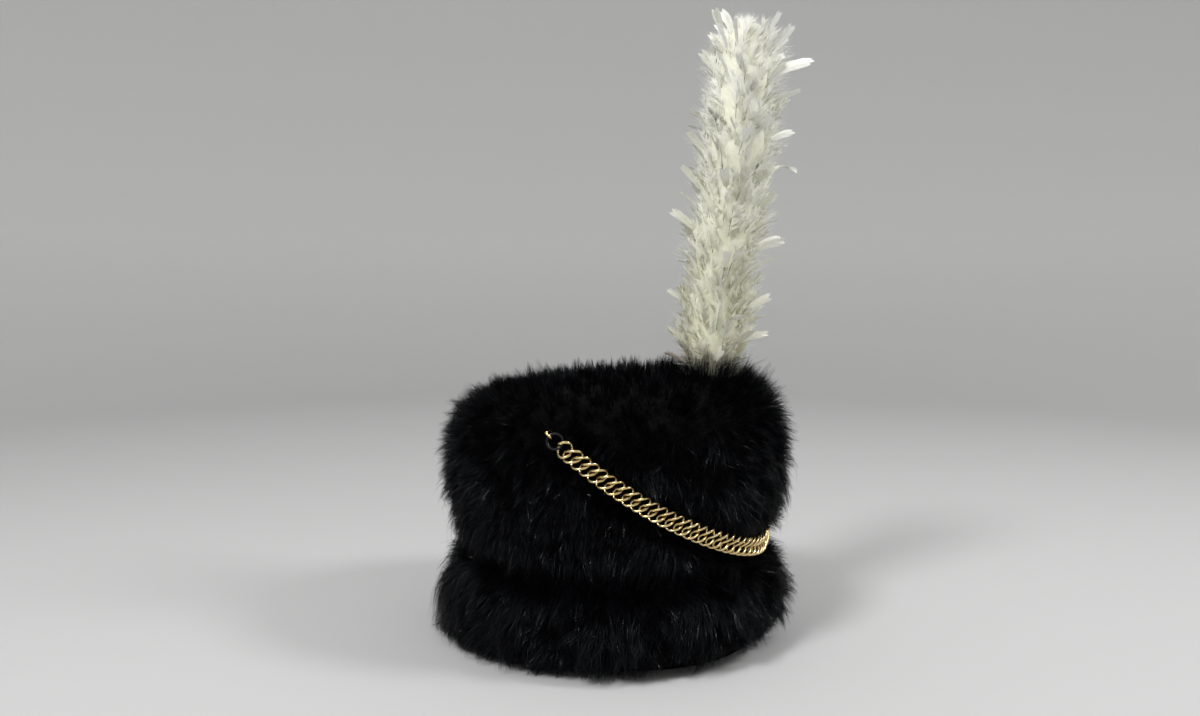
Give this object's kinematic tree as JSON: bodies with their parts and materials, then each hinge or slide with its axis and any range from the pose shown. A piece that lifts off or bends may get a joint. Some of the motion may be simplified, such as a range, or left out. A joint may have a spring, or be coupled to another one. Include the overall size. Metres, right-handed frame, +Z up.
{
  "type": "fur busby hat",
  "caption": "Tall black fur busby with an open head hollow, a white feather plume at the front of its top and a gilt curb chain looped across the front between side rings.",
  "frame": {"origin": "centre of the rim, on the surface that the hat stands on", "axes": "+Z up along the hat, -Y to the hat's front where the plume stands, +X to the wearer's left"},
  "size_m": [0.222, 0.2524, 0.4319],
  "materials": {
    "fur": "deep black fur with a soft sheen",
    "feather": "off-white layered feathers",
    "stem_wire": "dull wire",
    "gilt": "polished gilt",
    "black_metal": "gloss black"
  },
  "bodies": {
    "root": {"fur_crown": "fur", "fur_band": "fur", "plume": "feather", "plume_stem": "stem_wire", "chain_right": "gilt", "chain_front": "gilt", "chain_left": "gilt", "chain_ring_right": "black_metal", "chain_ring_left": "black_metal", "chain_eye_right": "gilt", "chain_eye_left": "gilt"}
  },
  "joints": []
}
